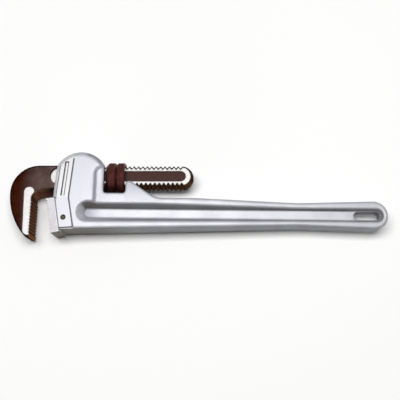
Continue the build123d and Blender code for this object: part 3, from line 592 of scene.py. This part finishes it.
brown, tree, shader, where = finish("dark_nut_steel")
wear = wear_on(tree, wear_reach=0.5 * MM, corner_reach=1.0 * MM, open_above=0.66, edge_radius=0.15 * MM)
tooth = skin_on(tree, where, cloud_scale=120.0, grain_scale=2600.0)
tone = mix(tree, tooth["Clouds"], *NUT_TONES)
tone = lay(tree, tone, wear["Worn"], *NUT_WORN)
# The tone is darker in its corners, by the corner mask.
tone = lay(tree, tone, wear["Corner"], *NUT_CORNER_DARK)
feed(tree, shader, {
    "Base Color": tone,
    "Metallic": 0.85,
    "Roughness": ramp(tree, tooth["Grain"], (0.0, 1.0), reach=(0.32, 0.46)),
    "Normal": raised(tree, strength=0.25, depth=0.04 * MM, height=tooth["Grain"]),
})

nut = piece("knurled_nut", nut_surface(around=384), joined=True, material=brown, sharp=40)
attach(nut, "nut")
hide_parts("adjusting_nut")


# Table: a sheet of matt white paper with a faint fibre, under the wrench. Away from the lamp it glows
# a little, to the camera and in mirrors only, so that it stays white out to the picture's edges.
TABLE_REACH = 6.0
PAPER_TONES = (0.93, 0.93, 0.925), (0.96, 0.96, 0.955)
PAPER_GLOW = 0.93, 0.93, 0.93
NEAR_GLOW = {"span": (0.08, 0.38), "reach": (0.0, 0.10)}
FAR_GLOW = {"span": (0.28, 1.3), "reach": (0.0, 0.8)}
lamp_place = Vector((7.4, 106.4, 1154.0)) * MM


def shown(tree):
    """1 on rays from the camera, in mirrors and through glass, and 0 on rays of scattered light."""
    path = place(tree, "ShaderNodeLightPath", {}).outputs
    passed_on = calc(tree, "MAXIMUM", path["Is Glossy Ray"], path["Is Transmission Ray"])
    return calc(tree, "MAXIMUM", path["Is Camera Ray"], passed_on)


paper, tree, shader, where = finish("table_paper")
fibre = place(tree, "ShaderNodeTexNoise", {"Vector": where["Object"], "Scale": 900.0, "Detail": 2.0})
from_lamp = {0: where["Object"], 1: (lamp_place.x, lamp_place.y, 0.0)}
away = place(tree, "ShaderNodeVectorMath", from_lamp, operation="DISTANCE").outputs["Value"]
glow = calc(tree, "ADD", ramp(tree, away, **NEAR_GLOW), ramp(tree, away, **FAR_GLOW))
feed(tree, shader, {
    "Base Color": mix(tree, fibre.outputs["Fac"], *PAPER_TONES),
    "Roughness": 0.9,
    "Specular IOR Level": 0.1,
    "Emission Color": PAPER_GLOW,
    "Emission Strength": times(tree, shown(tree), glow),
})
sheet = bpy.data.meshes.new("table")
corners = [(-TABLE_REACH, -TABLE_REACH, 0), (TABLE_REACH, -TABLE_REACH, 0)]
corners += [(TABLE_REACH, TABLE_REACH, 0), (-TABLE_REACH, TABLE_REACH, 0)]
sheet.from_pydata(corners, [], [(0, 1, 2, 3)])
sheet.materials.append(paper)
table = bpy.data.objects.new("table", sheet)
bpy.context.scene.collection.objects.link(table)
table.location.z = cad_low.z


# Room and softbox: a dim room, cooler and lighter beyond the dome than on the near side, white low down
# where it shows behind the table, and one wide soft light overhead, a little beyond the dome.
ROOM_NEAR, ROOM_BEYOND = (0.035, 0.027, 0.019), (0.144, 0.152, 0.16)
ROOM_BACKDROP = 0.90, 0.90, 0.90
NEAR_TO_BEYOND, BACKDROP_TOP = (-0.5, 0.5), (0.45, 0.25)

room = bpy.data.worlds.new("room")
bpy.context.scene.world = room
room.use_nodes = True
tree = room.node_tree
towards = parts(tree, place(tree, "ShaderNodeTexCoord", {}).outputs["Generated"])
light = mix(tree, ramp(tree, towards[1], NEAR_TO_BEYOND), ROOM_NEAR, ROOM_BEYOND)
backdrop = times(tree, shown(tree), ramp(tree, towards[2], BACKDROP_TOP))
feed(tree, tree.nodes["Background"], {"Color": mix(tree, backdrop, light, ROOM_BACKDROP), "Strength": 1.0})

softbox = bpy.data.lights.new("softbox", "AREA")
softbox.shape = "RECTANGLE"
softbox.size, softbox.size_y = 1.00, 0.42
softbox.energy = 14.4
lamp = bpy.data.objects.new("softbox", softbox)
bpy.context.scene.collection.objects.link(lamp)
lamp.location = lamp_place


# Camera: a plain lens nearly straight above, a little to the near side of the wrench and turned to
# its middle, with colours shown as they are.
aim = Vector((127.4, -28.6, 34.0)) * MM
lens = bpy.data.cameras.new("camera")
lens.lens, lens.sensor_width = 50.0, 36.0
lens.clip_start, lens.clip_end = 0.01, 50.0
eye = bpy.data.objects.new("camera", lens)
bpy.context.scene.collection.objects.link(eye)
eye.location = Vector((127.4, -178.9, 595.2)) * MM
eye.rotation_euler = (aim - eye.location).to_track_quat("-Z", "Y").to_euler()
bpy.context.scene.camera = eye
bpy.context.scene.view_settings.view_transform = "Standard"
